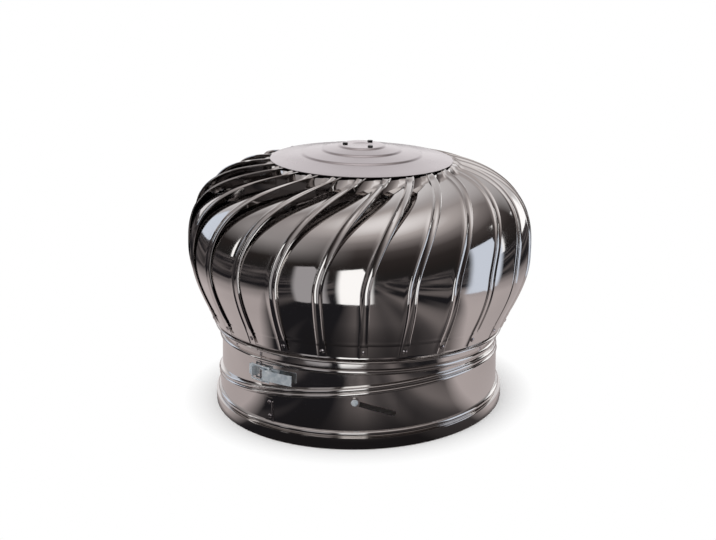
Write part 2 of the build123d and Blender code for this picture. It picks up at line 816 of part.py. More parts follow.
def latch_rivets():
    body = Pos(0, 0, latch_plate + seat_gap) * rivet(latch_plate + collar_sheet + seat_gap * 4)
    return [
        outward(azimuth, latch_wall, latch_height + height).location * body
        for azimuth, height in latch_rivet_spots()
    ]


def lever_pin():
    reach = latch_half_width + 1.6
    pin = extrude(Circle(latch_pin_radius), reach, both=True)
    return latch_frame().location * pin


def latch_lever():
    """Curved thumb plate with two side flanges that turn on the pin."""
    inside = latch_pin_reach + 3.0
    low, high = latch_height - latch_half_width, latch_height + latch_half_width
    start = pivot_azimuth + degrees_along(2)
    end = pivot_azimuth + degrees_along(lever_length)
    lever = spun_sector(band(inside, inside + latch_plate, low, high), start, end)
    cheek = make_face(Polyline(
        (0, -cheek_radius), (loop_pin_distance + 5, -cheek_radius), (loop_pin_distance + 9, 2.6),
        (2, 3.6), (0, cheek_radius), close=True,
    ))
    cheek += Circle(cheek_radius)
    cheek -= Circle(latch_pin_radius + hole_gap)
    cheek -= Pos(*loop_pin_spot()) * Circle(loop_wire_radius + hole_gap)
    for side in (1, -1):
        flange = extrude(Pos(0, 0, side * (latch_half_width - 0.5)) * cheek, 0.5, both=True)
        lever += latch_frame().location * flange
    return lever


def latch_loop():
    """Closed wire loop from the lever to the keeper, curved with the wall."""
    leg_offset = latch_half_width + 3.4
    loop_azimuth = pivot_azimuth + degrees_along(loop_pin_distance)
    wire = Rot(90, 0, 0) * Circle(loop_wire_radius)
    pieces = []
    for side in (1, -1):
        section = Pos(latch_pin_reach, 0, latch_height + side * leg_offset) * wire
        leg = revolve(section, Axis.Z, loop_azimuth - keeper_azimuth)
        pieces.append(turned(leg, keeper_azimuth))
    for azimuth in (loop_azimuth, keeper_azimuth):
        spot = polar(latch_pin_reach, azimuth, latch_height)
        pieces.append(Pos(spot) * Cylinder(loop_wire_radius, 2 * (leg_offset + loop_wire_radius)))
    loop = pieces[0]
    for piece in pieces[1:]:
        loop += piece
    return loop


# ---------------------------------------------------------------- seam of the lower collar

def seam_strip():
    inside = lower_wall_radius + seat_gap
    outline = band(inside, inside + collar_sheet, strip_bottom, strip_top)
    strip = spun_sector(outline, strip_azimuth - strip_turn / 2, strip_azimuth + strip_turn / 2)
    for spot in strip_rivet_spots():
        strip -= spot.location * rivet_hole(6)
    return strip


def strip_rivet_spots():
    heights = (strip_bottom + strip_rivet_end, strip_top - strip_rivet_end)
    return [outward(strip_azimuth + 0.6, lower_wall_radius, z) for z in heights]


def seam_rivets():
    body = Pos(0, 0, collar_sheet + seat_gap * 2) * rivet(collar_sheet * 2 + seat_gap * 4)
    return [spot.location * body for spot in strip_rivet_spots()]


def main():
    os.makedirs("parts", exist_ok=True)

    lower = lower_collar()
    for spot in strip_rivet_spots():
        lower -= spot.location * rivet_hole(6)
    screw, outer_washer, inner_washer, nut = lock_screw_parts()
    save("lower_collar", lower)
    save("seam_strip", seam_strip())
    save("seam_rivets", *seam_rivets())
    save("lock_screw", screw)
    save("lock_washers", outer_washer, inner_washer)
    save("lock_nut", nut)

    upper = upper_collar()
    for azimuth, height in latch_rivet_spots():
        upper -= at_head(outward(azimuth, latch_wall, latch_height + height).location * rivet_hole(6))
    save("upper_collar", upper)
    head_pieces = {
        "support_bracket": [support_bracket()],
        "bracket_rivets": bracket_rivets(),
        "shaft": [shaft()],
        "shaft_nuts": shaft_nuts(),
        "shaft_washers": shaft_washers(),
        "lower_inner_race": [inner_race(lower_bearing_height)],
        "upper_inner_race": [inner_race(upper_bearing_height)],
        "lower_ball_cage": [ball_cage(lower_bearing_height)],
        "upper_ball_cage": [ball_cage(upper_bearing_height)],
        "lower_outer_race": [outer_race(lower_bearing_height)],
        "upper_outer_race": [outer_race(upper_bearing_height)],
        "bottom_ring": [bottom_ring()],
        "ring_rivets": ring_rivets(),
        "spider": [spider()],
        "spider_rivets": spider_rivets(),
        "lower_bearing_housing": [lower_housing()],
        "upper_bearing_housing": [upper_housing()],
        "housing_screws": housing_screws(),
        "crown_cap": [crown_cap()],
        "clamp_ring": [clamp_ring()],
        "latch_base": [latch_base()],
        "latch_keeper": [latch_keeper()],
        "latch_rivets": latch_rivets(),
        "lever_pin": [lever_pin()],
        "latch_lever": [latch_lever()],
        "latch_loop": [latch_loop()],
    }
    for k, blade in enumerate(vanes(), start=1):
        head_pieces[f"vane_{k:02d}"] = [blade]
    for node, solids in head_pieces.items():
        save(node, *[at_head(solid) for solid in solids])


main()
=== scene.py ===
# %% [markdown]
# # A roof turbine ventilator in polished sheet steel
#
# A roof turbine ventilator is a round head of swirled sheet vanes that turns in the wind
# on top of a duct.  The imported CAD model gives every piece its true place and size.
# Here the pieces get their look: smooth sheet, folded hems, rivets, plated fittings,
# and a studio that a mirror finish can show.
#
# Nothing in it is moved.

# %% Load the frame
import math

import bpy
from mathutils import Matrix, Vector


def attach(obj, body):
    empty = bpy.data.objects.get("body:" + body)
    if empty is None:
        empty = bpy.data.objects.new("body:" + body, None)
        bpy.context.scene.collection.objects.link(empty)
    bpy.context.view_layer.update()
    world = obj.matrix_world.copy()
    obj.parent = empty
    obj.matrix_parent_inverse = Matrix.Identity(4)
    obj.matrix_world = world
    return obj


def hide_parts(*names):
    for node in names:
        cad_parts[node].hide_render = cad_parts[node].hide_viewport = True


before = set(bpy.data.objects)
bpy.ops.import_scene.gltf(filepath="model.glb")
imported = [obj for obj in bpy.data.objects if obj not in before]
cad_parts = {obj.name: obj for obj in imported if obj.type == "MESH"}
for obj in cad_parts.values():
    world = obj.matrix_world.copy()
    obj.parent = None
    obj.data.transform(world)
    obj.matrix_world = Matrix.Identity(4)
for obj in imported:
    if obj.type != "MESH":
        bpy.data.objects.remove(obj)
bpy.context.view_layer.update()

# %% [markdown]
# ## Three sets of axes
#
# The lower collar stands upright on the duct.  The joint above it is cut obliquely: its
# axis leans back and to the left.  The head above it leans back too, by less, and a
# little to the right.  A leaning piece could be modelled aslant, but every circle in it
# would then be a tilted one.  So each piece is shaped upright about the Z axis, and one
# matrix carries it to its place.  Drawing sizes are in millimetres, and Blender's unit
# is the metre, so one constant turns one into the other.

# %% Millimetres and leaning axes
MM = 0.001
JOINT_HEIGHT = 71.5
HEAD_LEAN, HEAD_SIDE = math.radians(3.9), math.radians(1.9)
JOINT_LEAN, JOINT_SIDE = math.radians(6.5), math.radians(-4.1)


def leaning_axes(lean, side):
    """Axes at the middle of the joint whose Z leans back by one angle and sideways by the other."""
    up = Vector((
        math.sin(side),
        math.sin(lean) * math.cos(side),
        math.cos(lean) * math.cos(side),
    ))
    across = (Vector((1, 0, 0)) - up * up.x).normalized()
    turn = Matrix((across, up.cross(across), up)).transposed().to_4x4()
    return Matrix.Translation((0, 0, JOINT_HEIGHT * MM)) @ turn


UPRIGHT = Matrix.Identity(4)
JOINT = leaning_axes(JOINT_LEAN, JOINT_SIDE)
HEAD = leaning_axes(HEAD_LEAN, HEAD_SIDE)
print("head axis", [round(c, 4) for c in HEAD.to_3x3().col[2]])
print("joint axis", [round(c, 4) for c in JOINT.to_3x3().col[2]])


# %% [markdown]
# ## Working like a hand would
#
# An operator acts on all that is selected, and the import leaves every CAD node
# selected.  So each piece starts with nothing selected, is shaped in edit mode, and
# ends with its place in its own mesh.  Four small helpers keep those steps short.

# %% Helpers for shaping
def select_only(obj):
    bpy.ops.object.select_all(action="DESELECT")
    obj.select_set(True)
    bpy.context.view_layer.objects.active = obj


def apply_modifier(obj, kind, **settings):
    """Adds one modifier with its settings and applies it."""
    select_only(obj)
    modifier = obj.modifiers.new(kind.title(), kind)
    for name, value in settings.items():
        setattr(modifier, name, value)
    bpy.ops.object.modifier_apply(modifier=modifier.name)


def smooth_by_angle(obj, degrees):
    select_only(obj)
    bpy.ops.object.shade_smooth_by_angle(angle=math.radians(degrees))


def place_on_head(obj, azimuth=0.0):
    """Turns a finished mesh about the head's axis and carries it to its place on the part."""
    obj.data.transform(HEAD @ Matrix.Rotation(math.radians(azimuth), 4, "Z"))
    obj.data.update()


print("helpers", [f.__name__ for f in (select_only, apply_modifier, smooth_by_angle, place_on_head)])

# %% [markdown]
# ## The vanes
#
# Each vane is one pressed sheet.  Its foot is riveted outside the bottom ring, its
# blade swells out to the equator, swirls forward as it rises and ends as a flat tip
# under the crown.  The tucked edge passes under the next vane, and the free edge stands
# off it, which leaves a wedge-shaped air mouth.  The free edge carries a pressed hem
# with a ridge along either side, and those two fine ridges catch the light.
#
# A ball could be cut into slices, or a profile could be spun, but neither has a swirl
# or a lap.  So the sheet starts as a flat grid: one row of vertices for each station
# from foot to tip, and one column for each place across the sheet.  Every row is then
# laid on its cross-section, and Solidify gives the sheet its thickness.

# %% Sizes of a vane
VANE_COUNT = 24
VANE_TURN = math.radians(18)                      # from the free edge to the tucked edge
SHEET = 0.6
FOOT, CREASE = (254.0, 73.0), (263.5, 95.8)       # radius and height above the joint
EQUATOR = (296.0, 199.0)
SHOULDER = (164.0, 347.0)
TIP_RADIUS, TIP_SLOPE = 146.0, math.radians(11)
ROUND_UP, ROUND_OUT = 2.8, 3.2                    # 2 would be an ellipse, more is squarer
FOOT_ROWS = (0.0, 0.5, 0.9, 0.95)                 # shares of the way from foot to crease
BLADE_ROWS = 64
TIP_ROWS = (0.3, 1.0)                             # shares of the way from shoulder to tip
print("vanes", VANE_COUNT, "each", round(math.degrees(VANE_TURN), 1), "degrees wide")

# %% [markdown]
# ## The line of the free edge
#
# Seen from the side, the free edge runs out from the crease as a quarter of a sine,
# stands upright at the equator, and comes in to the shoulder as a quarter of a
# superellipse, which is fuller than a circle.  A Bezier curve would do as well, but a
# formula keeps its shape when a size changes.  The points are then spaced evenly, so
# that all faces are about as long as each other.


# %% Points of the free edge
def below_equator(share):
    swell = math.sin(math.pi / 2 * share)
    return CREASE[0] + (EQUATOR[0] - CREASE[0]) * swell, CREASE[1] + (EQUATOR[1] - CREASE[1]) * share


def above_equator(share):
    top = (1 - (SHOULDER[0] / EQUATOR[0]) ** ROUND_OUT) ** (1 / ROUND_UP)
    half_height = (SHOULDER[1] - EQUATOR[1]) / top
    angle = math.asin(top ** (ROUND_UP / 2)) * share
    radius = EQUATOR[0] * math.cos(angle) ** (2 / ROUND_OUT)
    return radius, EQUATOR[1] + half_height * math.sin(angle) ** (2 / ROUND_UP)


def blade_outline():
    """Points (radius, height) from the crease over the equator to the shoulder, evenly spaced."""
    dense = [below_equator(k / 200) for k in range(200)] + [above_equator(k / 400) for k in range(401)]
    run = [0.0]
    for a, b in zip(dense, dense[1:]):
        run.append(run[-1] + math.dist(a, b))
    points, k = [], 0
    for row in range(BLADE_ROWS + 1):
        goal = run[-1] * row / BLADE_ROWS
        while k < len(run) - 2 and run[k + 1] < goal:
            k += 1
        part = (goal - run[k]) / (run[k + 1] - run[k])
        points.append(tuple(p + (q - p) * part for p, q in zip(dense[k], dense[k + 1])))
    return points


outline = blade_outline()
print("free edge runs", round(sum(math.dist(a, b) for a, b in zip(outline, outline[1:])), 1), "mm")

# %% [markdown]
# ## The air mouth and the swirl
#
# Below the equator the vanes lap closely.  Above it the tucked edge drops away from the
# neighbour's free edge, which opens the mouth, and it comes back squarely under the
# crown.  The whole blade also runs forward round the axis as it rises.  Straight ramps
# would leave a kink where each change starts, and pressed sheet has none.  So the mouth
# follows a smooth step, and the swirl a power curve that starts softly.

# %% How far the sheet lies below its neighbour, and how far it has swirled
LAP, MOUTH = 2.0, 19.0
MOUTH_START, MOUTH_FULL, MOUTH_END = 0.3, 0.94, 1.0    # shares of the blade's length
MOUTH_CLOSING = 0.03
SWEEP_START, SWEEP_POWER = 0.3, 1.6
TIP_SWEEP = math.radians(3.5)
BLADE_SWEEP = math.radians(32) - TIP_SWEEP


def ease(value, low, high):
    """0 below low, 1 above high, smooth between."""
    t = min(1.0, max(0.0, (value - low) / (high - low)))
    return t * t * (3 - 2 * t)


def lift_at(share):
    opening = ease(share, MOUTH_START, MOUTH_FULL)
    closing = ease(share, MOUTH_FULL + MOUTH_CLOSING, MOUTH_END)
    return LAP + (MOUTH - LAP) * opening * (1 - closing)


def sweep_at(share):
    return BLADE_SWEEP * max(0.0, (share - SWEEP_START) / (1 - SWEEP_START)) ** SWEEP_POWER


print("mouth at the middle and near the top", [round(lift_at(s), 1) for s in (0.5, MOUTH_FULL)])

# %% [markdown]
# ## One row of the sheet
#
# Across its width a vane is a shallow arc that bulges outwards.  The hem lies along the
# free edge: a ridge, a flat trough and a second ridge, within 17 mm.  A bevelled or
# subdivided edge would round the ridges away, so each has columns of its own, close
# together where the sheet bends and far apart where it is plain.

# %% The cross-section
HEM_COLUMNS = [     # distance from the free edge, and height above the sheet
    (0.0, 0.2), (0.6, 1.4), (1.8, 2.1), (3.0, 1.4), (4.0, 0.6), (8.0, 0.4), (11.4, 0.6),
    (12.4, 1.4), (13.6, 2.1), (14.8, 1.4), (15.6, 0.4), (17.0, 0.0),
]
HEM_WIDTH = HEM_COLUMNS[-1][0]
RIDGES_TO, FLAT_RISE = 12.0, 1.15                 # a hem with no ridges is this high
PANEL_COLUMNS = 12
LEAST_BULGE = 0.3


def ray(radius, azimuth, height):
    return Vector((radius * math.cos(azimuth), radius * math.sin(azimuth), height))


def vane_row(radius, height, lean, lift, sweep, ridge):
    """Vertices of one cross-section, from the free edge to the tucked edge."""
    rise, reach = math.sin(lean), math.cos(lean)
    normal = ray(reach, sweep - VANE_TURN / 2, rise)
    free = ray(radius, sweep, height)
    tucked = ray(radius - lift * reach, sweep - VANE_TURN, height - lift * rise)
    chord = (tucked - free).length
    bulge = max(radius * (1 - math.cos(VANE_TURN / 2)) * reach, LEAST_BULGE)
    across = list(HEM_COLUMNS)
    for k in range(1, PANEL_COLUMNS + 1):
        across.append((HEM_WIDTH + (chord - HEM_WIDTH) * k / PANEL_COLUMNS, 0.0))
    row = []
    for along, raised in across:
        share = along / chord
        if along < RIDGES_TO:
            raised = raised * ridge + FLAT_RISE * (1 - ridge)
        row.append(free + (tucked - free) * share + normal * (bulge * 4 * share * (1 - share) + raised))
    return row


print("columns across a vane", len(HEM_COLUMNS) + PANEL_COLUMNS)

# %% [markdown]
# ## From foot to tip
#
# The foot is a straight flange, the blade follows the free edge, and the tip is a flat
# tongue.  They are one sheet, so they are rows of one grid.  The ridges fade out
# towards the foot and the tip, where the sheet is clamped flat, and a small bead marks
# the crease between the foot and the blade.

# %% Rows of the whole sheet
CREASE_BEAD = 0.7
RIDGE_AT_CREASE, RIDGE_GROWTH = 0.3, 20.0
RIDGE_AT_TIP = 0.5
RIDGE_FADE = (MOUTH_END - 0.02, MOUTH_END + 0.01)


def foot_rows():
    lean = math.atan2(FOOT[0] - CREASE[0], CREASE[1] - FOOT[1])
    rows = []
    for share in FOOT_ROWS:
        radius, height = (f + (c - f) * share for f, c in zip(FOOT, CREASE))
        rows.append(vane_row(radius, height, lean, LAP, 0.0, share * RIDGE_AT_CREASE))
    return rows


def blade_rows():
    rows = []
    for k, (radius, height) in enumerate(outline):
        share = k / BLADE_ROWS
        before, after = outline[max(k - 1, 0)], outline[min(k + 1, BLADE_ROWS)]
        lean = math.atan2(before[0] - after[0], after[1] - before[1])
        ridge = min(1.0, share * RIDGE_GROWTH + RIDGE_AT_CREASE) * (1 - ease(share, *RIDGE_FADE))
        bead = CREASE_BEAD if k == 0 else 0.0
        rows.append(vane_row(radius + bead, height, lean, lift_at(share), sweep_at(share), ridge))
    return rows


def tip_rows():
    lean = math.pi / 2 - TIP_SLOPE
    rows = []
    for share in TIP_ROWS:
        radius = SHOULDER[0] + (TIP_RADIUS - SHOULDER[0]) * share
        height = SHOULDER[1] + (SHOULDER[0] - radius) * math.tan(TIP_SLOPE)
        rows.append(vane_row(radius, height, lean, LAP, BLADE_SWEEP + TIP_SWEEP * share, RIDGE_AT_TIP))
    return rows


rows = foot_rows() + blade_rows() + tip_rows()
print("grid", len(rows), "rows by", len(rows[0]), "columns")

# %% Model one vane
bpy.ops.object.select_all(action="DESELECT")
bpy.ops.mesh.primitive_grid_add(x_subdivisions=len(rows[0]) - 1, y_subdivisions=len(rows) - 1, size=1)
vane = bpy.context.object
vane.name = "vane_pattern"
for vertex, spot in zip(vane.data.vertices, [spot for row in rows for spot in row]):
    vertex.co = spot * MM
apply_modifier(vane, "SOLIDIFY", thickness=SHEET * MM, offset=1.0, use_even_offset=True)
bpy.ops.object.mode_set(mode="EDIT")
bpy.ops.mesh.select_all(action="SELECT")
bpy.ops.mesh.normals_make_consistent(inside=False)
bpy.ops.object.mode_set(mode="OBJECT")
smooth_by_angle(vane, 40)
print("one vane", len(vane.data.polygons), "faces")

# %% [markdown]
# ## Round the head
#
# All vanes come off one press, so one is modelled and the rest are copies.  An Array
# modifier would give one object, but each vane is a piece of its own on a bench, so
# each copy has its own mesh and takes the place of its own CAD node.

# %% Copy the vane round the head
FIRST_EDGE = -87.0
vane_shells = []
for k in range(VANE_COUNT):
    shell = vane.copy()
    shell.data = vane.data.copy()
    shell.name = f"vane_shell_{k + 1:02d}"
    bpy.context.scene.collection.objects.link(shell)
    place_on_head(shell, FIRST_EDGE + 360 / VANE_COUNT * k)
    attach(shell, "rotor")
    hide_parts(f"vane_{k + 1:02d}")
    vane_shells.append(shell)
bpy.data.objects.remove(vane)
print("vanes", len(vane_shells))

# %% [markdown]
# ## Turning a profile
#
# The crown came out of a press and the beads off a rolling machine, and both are the
# same all round their axis.  A cylinder with insets would take a step for each ridge.
# It is shorter to draw half of the outline, as a turner does: one vertex is extruded
# along it, and Spin carries it round the axis.  Spin can turn a shape inside out, so
# doubles are merged and the normals are worked out again.


# %% Helper for turned pieces
def lathe(name, profile, steps, turn=360.0):
    """A shape of revolution about Z.  A turn of less than 360 degrees gets closed ends."""
    bpy.ops.object.select_all(action="DESELECT")
    bpy.ops.mesh.primitive_plane_add(size=MM)
    obj = bpy.context.object
    obj.name = name
    bpy.ops.object.mode_set(mode="EDIT")
    bpy.ops.mesh.select_all(action="SELECT")
    bpy.ops.mesh.merge(type="CENTER")
    place = Vector((0, 0, 0))
    for k, (radius, height) in enumerate(profile):
        target = Vector((radius, 0, height)) * MM
        if k == 0:
            bpy.ops.transform.translate(value=target - place)
        else:
            bpy.ops.mesh.extrude_region_move(TRANSFORM_OT_translate={"value": target - place})
        place = target
    bpy.ops.mesh.select_all(action="SELECT")
    bpy.ops.mesh.spin(steps=steps, angle=math.radians(turn), center=(0, 0, 0), axis=(0, 0, 1))
    bpy.ops.mesh.select_all(action="SELECT")
    bpy.ops.mesh.remove_doubles(threshold=0.01 * MM)
    if turn < 360:
        bpy.ops.mesh.fill_holes(sides=0)
    bpy.ops.mesh.normals_make_consistent(inside=False)
    bpy.ops.object.mode_set(mode="OBJECT")
    return obj


print("helper", lathe.__name__)

# %% [markdown]
# ## The crown
#
# The crown is a pressed disc: a sloping rim over the vane tips, a first low step, a
# wide shelf, a second step, and a flat boss with a shallow dimple, where the three
# screws stand.  It could be a cylinder with insets, but a spun profile keeps every
# radius of it in one list.  Pressed steps are soft, so each corner gets a bevel after
# the profile is spun, and Solidify gives the disc its sheet.

# %% Sizes of the crown
CROWN_SHEET = 0.8
CROWN_RIM, CROWN_SHELF = 157.0, 142.0
FIRST_STEP, SECOND_STEP, BOSS_STEP = (105.0, 101.5), (70.0, 66.5), (42.0, 38.0)
STEP_RISE = 3.0
BOSS_RISE = 25.0
SHELF_SLOPE, SHELF_SHARE = 0.15, 0.18
DIMPLE = [(18.0, 0.0), (14.0, 1.2), (7.0, 1.8), (0.0, 2.0)]    # radius and depth
TIP_HEM, CROWN_GAP = 1.2, 0.5
HEM_ROOM = (TIP_HEM + CROWN_GAP) / math.cos(TIP_SLOPE)


def height_over_tips(radius):
    return SHOULDER[1] + (SHOULDER[0] - radius) * math.tan(TIP_SLOPE) + HEM_ROOM


rim_height, shelf_height = height_over_tips(CROWN_RIM), height_over_tips(CROWN_SHELF)
boss_height = rim_height + BOSS_RISE
first_height = shelf_height + SHELF_SLOPE * (CROWN_SHELF - FIRST_STEP[0])
second_height = first_height + STEP_RISE + (boss_height - shelf_height) * SHELF_SHARE
print("crown from", round(rim_height, 1), "to", round(boss_height, 1), "mm above the joint")

# %% Model the crown
crown_profile = [
    (CROWN_RIM, rim_height), (CROWN_SHELF, shelf_height),
    (FIRST_STEP[0], first_height), (FIRST_STEP[1], first_height + STEP_RISE),
    (SECOND_STEP[0], second_height), (SECOND_STEP[1], second_height + STEP_RISE),
    (BOSS_STEP[0], boss_height - STEP_RISE), (BOSS_STEP[1], boss_height),
]
crown_profile += [(radius, boss_height - depth) for radius, depth in DIMPLE]
crown = lathe("crown_disc", crown_profile, steps=128)
apply_modifier(
    crown, "BEVEL", width=1.6 * MM, segments=3, limit_method="ANGLE", angle_limit=math.radians(5),
)
apply_modifier(crown, "SOLIDIFY", thickness=CROWN_SHEET * MM, offset=1.0)
smooth_by_angle(crown, 50)
place_on_head(crown)
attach(crown, "rotor")
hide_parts("crown_cap")
print("crown faces", len(crown.data.polygons))

# %% [markdown]
# ## Rolled beads
#
# The collars are stiffened by beads rolled into the sheet, and both edges of the oblique
# joint are rolled over.  A roll is round, and a round roll draws every lamp out into a
# long bright line.  A torus would do for a whole bead, but the upper collar is split by
# a seam, and its beads are split too.  So each bead is a turned half-round skin whose
# back lies in the wall, and a split one is turned a hair less than a full circle.

# %% Outline and sizes of the beads
SEAM_AZIMUTH, SEAM_GAP = -132.5, 0.3              # degrees
ROLL_SUNK, ROLL_FULLNESS, ROLL_HALF_STEPS = 0.2, 2.5, 8
BASE_WALL, JOINT_WALL, NECK_WALL = 243.5, 243.4, 238.5
BEADS = [           # name, body, axes, wall, crest, middle height, half height, split
    ("bead_lower", "base", UPRIGHT, BASE_WALL, 247.8, 25.0, 5.4, False),
    ("bead_joint_lower", "base", JOINT, JOINT_WALL, 245.4, -3.9, 3.7, False),
    ("bead_joint_upper", "neck", JOINT, JOINT_WALL, 245.4, 3.9, 3.7, True),
    ("bead_neck", "neck", HEAD, NECK_WALL, 242.9, 43.5, 5.6, True),
    ("bead_top", "neck", HEAD, NECK_WALL, 250.9, 62.5, 5.2, True),
]


def half_round(wall, crest, height, half):
    """Closed outline of a roll: its back lies in the wall and its front is round."""
    back = wall - ROLL_SUNK
    points = []
    for k in range(-ROLL_HALF_STEPS, ROLL_HALF_STEPS + 1):
        t = k / ROLL_HALF_STEPS
        points.append((back + (crest - back) * (1 - abs(t) ** ROLL_FULLNESS), height + half * t))
    return points + points[:1]


print("beads", len(BEADS), "outline of", 2 * ROLL_HALF_STEPS + 1, "points")

# %% Model the beads
bead_pieces = []
for name, body, axes, wall, crest, height, half, split in BEADS:
    turn = 360 - SEAM_GAP if split else 360.0
    bead = lathe(name, half_round(wall, crest, height, half), steps=180, turn=turn)
    smooth_by_angle(bead, 60)
    bead.data.transform(axes @ Matrix.Rotation(math.radians(SEAM_AZIMUTH + SEAM_GAP / 2), 4, "Z"))
    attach(bead, body)
    bead_pieces.append(bead)
print("beads", [bead.name for bead in bead_pieces])

# %% [markdown]
# ## Folded seam edges
#
# A cut edge of thin sheet is sharp, so at each seam it is folded back into a slim round
# lip.  The lip is a hair over three millimetres wide and catches the light as one
# upright line.  The collar's own edge could be bevelled, but its CAD mesh stays as it
# is, so a thin cylinder half sunk in the wall gives that line.

# %% Model the seam lips
LIP_RADIUS = 1.6
SEAM_LIPS = [       # name, body, axes, wall, azimuth in degrees, foot and top height
    ("seam_lip_lower", "base", UPRIGHT, 243.9, -126.0, 30.5, 65.0),
    ("seam_lip_upper", "neck", HEAD, NECK_WALL, -133.3, 8.0, 58.0),
]
lip_pieces = []
for name, body, axes, wall, azimuth, low, high in SEAM_LIPS:
    bpy.ops.object.select_all(action="DESELECT")
    bpy.ops.mesh.primitive_cylinder_add(vertices=20, radius=LIP_RADIUS * MM, depth=(high - low) * MM)
    lip = bpy.context.object
    lip.name = name
    lip.data.transform(axes @ Matrix.Translation(ray(wall, math.radians(azimuth), (low + high) / 2) * MM))
    smooth_by_angle(lip, 60)
    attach(lip, body)
    lip_pieces.append(lip)
print("seam lips", [lip.name for lip in lip_pieces])

# %% [markdown]
# ## CAD pieces that stay
#
# The collars, the bottom ring, the latch and all the small fittings have their final
# shape in the CAD model, so modelling them again would gain nothing.  Their meshes are
# loose triangles.  A Weld modifier joins them, Edge Split keeps their true corners, and
# smooth faces then turn their facets into round sheet.

# %% Smooth the CAD nodes
WELD_REACH = 0.002 * MM
CORNER_ANGLE = math.radians(32)
shown_nodes = [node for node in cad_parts.values() if not node.hide_render]
for node in shown_nodes:
    weld = node.modifiers.new("Weld", "WELD")
    weld.merge_threshold = WELD_REACH
    split = node.modifiers.new("Corners", "EDGE_SPLIT")
    split.split_angle = CORNER_ANGLE
    split.use_edge_sharp = False
    for face in node.data.polygons:
        face.use_smooth = True
print("CAD nodes shown", len(shown_nodes))


# %% [markdown]
# ## Working with materials
#
# Every metal here is bare or plated, so the shader is metallic and its roughness tells
# one finish from another.  Hex colours are written as a screen shows them, and one
# function turns them to the linear values that the shader wants.  One helper adds any
# node with its settings and links.  A texture's scale counts repeats in a metre, so it
# is worked out from a real size in millimetres.

# %% Helpers for materials
def linear(hex_colour):
    values = [int(hex_colour[k:k + 2], 16) / 255 for k in (1, 3, 5)]
    return [v / 12.92 if v <= 0.04045 else ((v + 0.055) / 1.055) ** 2.4 for v in values] + [1.0]


def add(tree, kind, settings=(), links=()):
    """Adds one node, sets its values and links its inputs."""
    node = tree.nodes.new(kind)
    for name, value in dict(settings).items():
        if isinstance(name, int) or name in node.inputs:
            node.inputs[name].default_value = value
        else:
            setattr(node, name, value)
    for name, socket in dict(links).items():
        tree.links.new(socket, node.inputs[name])
    return node


def new_metal(name):
    """A metallic material, its node tree and its shader."""
    material = bpy.data.materials.new(name)
    material.use_nodes = True
    tree = material.node_tree
    shader = tree.nodes["Principled BSDF"]
    shader.inputs["Metallic"].default_value = 1.0
    return material, tree, shader


def per_metre(size_mm):
    """Texture scale whose pattern repeats about every size_mm."""
    return 1000.0 / size_mm


print("mid grey in linear values", [round(v, 3) for v in linear("#808080")])

# %% [markdown]
# ## Polished stainless sheet
#
# The vanes, collars and rings are cold-rolled 304 stainless sheet with a mirror polish.
# It shows the room sharply, but pressed sheet is never quite flat, so what it shows is
# drawn out and bent.  Dents could be modelled, but they are far shallower than a face
# is wide, so two soft bumps do it: shallow dents about a hand wide, and a finer ripple
# from the rolls.  A faint film of handling makes the polish uneven.

# %% Polished 304 sheet
DENT_SIZE, RIPPLE_SIZE, FILM_SIZE = 110, 26, 60
polished, tree, shader = new_metal("polished_304_sheet")
spot = add(tree, "ShaderNodeTexCoord").outputs["Object"]
dents = add(tree, "ShaderNodeTexNoise", {"Scale": per_metre(DENT_SIZE), "Detail": 1.0}, {"Vector": spot})
rolled = add(tree, "ShaderNodeTexNoise", {"Scale": per_metre(RIPPLE_SIZE), "Detail": 2.0}, {"Vector": spot})
wave = add(
    tree, "ShaderNodeBump", {"Strength": 0.35, "Distance": 1.2 * MM},
    {"Height": dents.outputs["Fac"]},
)
ripple = add(
    tree, "ShaderNodeBump", {"Strength": 0.12, "Distance": 0.3 * MM},
    {"Height": rolled.outputs["Fac"], "Normal": wave.outputs["Normal"]},
)
film = add(tree, "ShaderNodeTexNoise", {"Scale": per_metre(FILM_SIZE), "Detail": 4.0}, {"Vector": spot})
haze = add(
    tree, "ShaderNodeMapRange", {"From Min": 0.35, "From Max": 0.75, "To Min": 0.05, "To Max": 0.12},
    {"Value": film.outputs["Fac"]},
)
shader.inputs["Base Color"].default_value = linear("#dfdcda")
tree.links.new(haze.outputs["Result"], shader.inputs["Roughness"])
tree.links.new(ripple.outputs["Normal"], shader.inputs["Normal"])
print(polished.name, len(tree.nodes), "nodes")

# %% [markdown]
# ## Satin stainless
#
# The crown, the rivet heads and the folded lips are the same steel with a fine satin
# finish, as brushing leaves it.  Their highlights are wide and soft.  The grain itself
# is a fraction of a millimetre, too fine to show, so it is drawn at 2.5 mm, and a
# higher roughness does the rest.

# %% Satin 304 sheet
GRAIN_SIZE, CLOUD_SIZE = 2.5, 70
satin, tree, shader = new_metal("satin_304_sheet")
spot = add(tree, "ShaderNodeTexCoord").outputs["Object"]
grain = add(tree, "ShaderNodeTexNoise", {"Scale": per_metre(GRAIN_SIZE), "Detail": 4.0}, {"Vector": spot})
cloud = add(tree, "ShaderNodeTexNoise", {"Scale": per_metre(CLOUD_SIZE), "Detail": 3.0}, {"Vector": spot})
haze = add(
    tree, "ShaderNodeMapRange", {"From Min": 0.3, "From Max": 0.7, "To Min": 0.2, "To Max": 0.28},
    {"Value": cloud.outputs["Fac"]},
)
skin = add(
    tree, "ShaderNodeBump", {"Strength": 0.08, "Distance": 0.2 * MM},
    {"Height": grain.outputs["Fac"]},
)
shader.inputs["Base Color"].default_value = linear("#cdc7c9")
tree.links.new(haze.outputs["Result"], shader.inputs["Roughness"])
tree.links.new(skin.outputs["Normal"], shader.inputs["Normal"])
print(satin.name, len(tree.nodes), "nodes")

